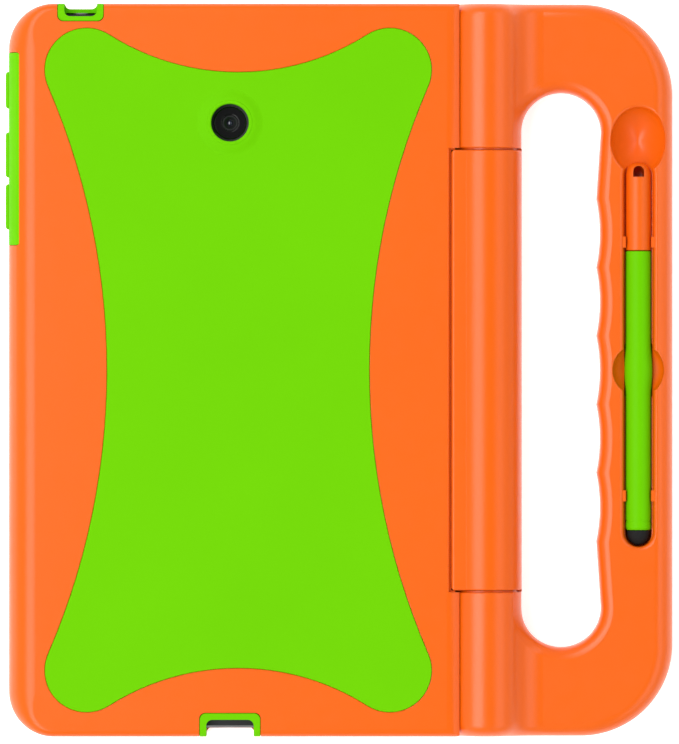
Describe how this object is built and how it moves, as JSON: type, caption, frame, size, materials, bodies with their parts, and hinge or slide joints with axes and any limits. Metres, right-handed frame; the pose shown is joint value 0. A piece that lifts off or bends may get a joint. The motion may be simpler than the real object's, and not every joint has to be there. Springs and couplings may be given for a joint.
{
  "type": "kids tablet case with handle",
  "caption": "Two-part child's tablet case with a soft liner showing through the back, a folding carry handle that props it up, and a stylus in the handle.",
  "frame": {"origin": "centre of the bounding box's bottom face, which is the surface that the case lies on", "axes": "+Z out of the case's back, +Y towards the end with the headphone port, +X towards the handle"},
  "size_m": [0.1774, 0.1944, 0.0188],
  "materials": {
    "case_orange": "fine satin moulded plastic, plain orange",
    "handle_orange": "fine satin moulded plastic, plain orange",
    "liner_green": "smooth matt silicone, bright green",
    "stylus_orange": "satin plastic",
    "stylus_green": "satin plastic",
    "stylus_rubber": "soft matt rubber",
    "steel": "plain bright steel",
    "tablet_black": "dark satin plastic",
    "display": "dark unlit panel",
    "screen_glass": "dark polished glass",
    "camera_glass": "dark polished glass"
  },
  "bodies": {
    "case": {"rear_shell": "case_orange", "front_frame": "case_orange", "inner_liner": "liner_green", "charge_port_frame": "liner_green", "hinge_cover": "case_orange", "cover_screw_1": "steel", "cover_screw_2": "steel", "cover_screw_3": "steel", "friction_clip_top": "steel", "friction_clip_bottom": "steel", "tablet_housing": "tablet_black", "tablet_glass": "screen_glass", "display_panel": "display", "camera_window": "camera_glass", "camera_barrel": "tablet_black", "camera_lens": "camera_glass", "usb_shell": "steel", "usb_tongue": "tablet_black", "headphone_jack": "tablet_black"},
    "handle": {"handle_back_half": "handle_orange", "handle_front_half": "handle_orange", "handle_screw_1": "steel", "handle_screw_2": "steel", "handle_screw_3": "steel", "handle_screw_4": "steel", "handle_screw_5": "steel", "handle_screw_6": "steel", "hinge_shaft_top": "steel", "hinge_shaft_bottom": "steel", "stylus_cap": "stylus_orange", "stylus_barrel": "stylus_green", "stylus_tip": "stylus_rubber"},
    "power_button": {"power_pad": "liner_green", "power_key": "tablet_black"},
    "volume_up_button": {"volume_up_pad": "liner_green", "volume_up_key": "tablet_black"},
    "volume_down_button": {"volume_down_pad": "liner_green", "volume_down_key": "tablet_black"}
  },
  "joints": [
    {"name": "handle_hinge", "type": "hinge", "parent": "case", "child": "handle", "pos_m": [0.03915, 0, 0.0094], "axis": [0, -1, 0], "range_deg": [0, 110]},
    {"name": "power_press", "type": "slide", "parent": "case", "child": "power_button", "axis": [1, 0, 0], "range_m": [0, 0.0005], "stiffness_N_per_m": 3000, "springref_m": -0.0001},
    {"name": "volume_up_press", "type": "slide", "parent": "case", "child": "volume_up_button", "axis": [1, 0, 0], "range_m": [0, 0.0005], "stiffness_N_per_m": 3000, "springref_m": -0.0001},
    {"name": "volume_down_press", "type": "slide", "parent": "case", "child": "volume_down_button", "axis": [1, 0, 0], "range_m": [0, 0.0005], "stiffness_N_per_m": 3000, "springref_m": -0.0001}
  ]
}
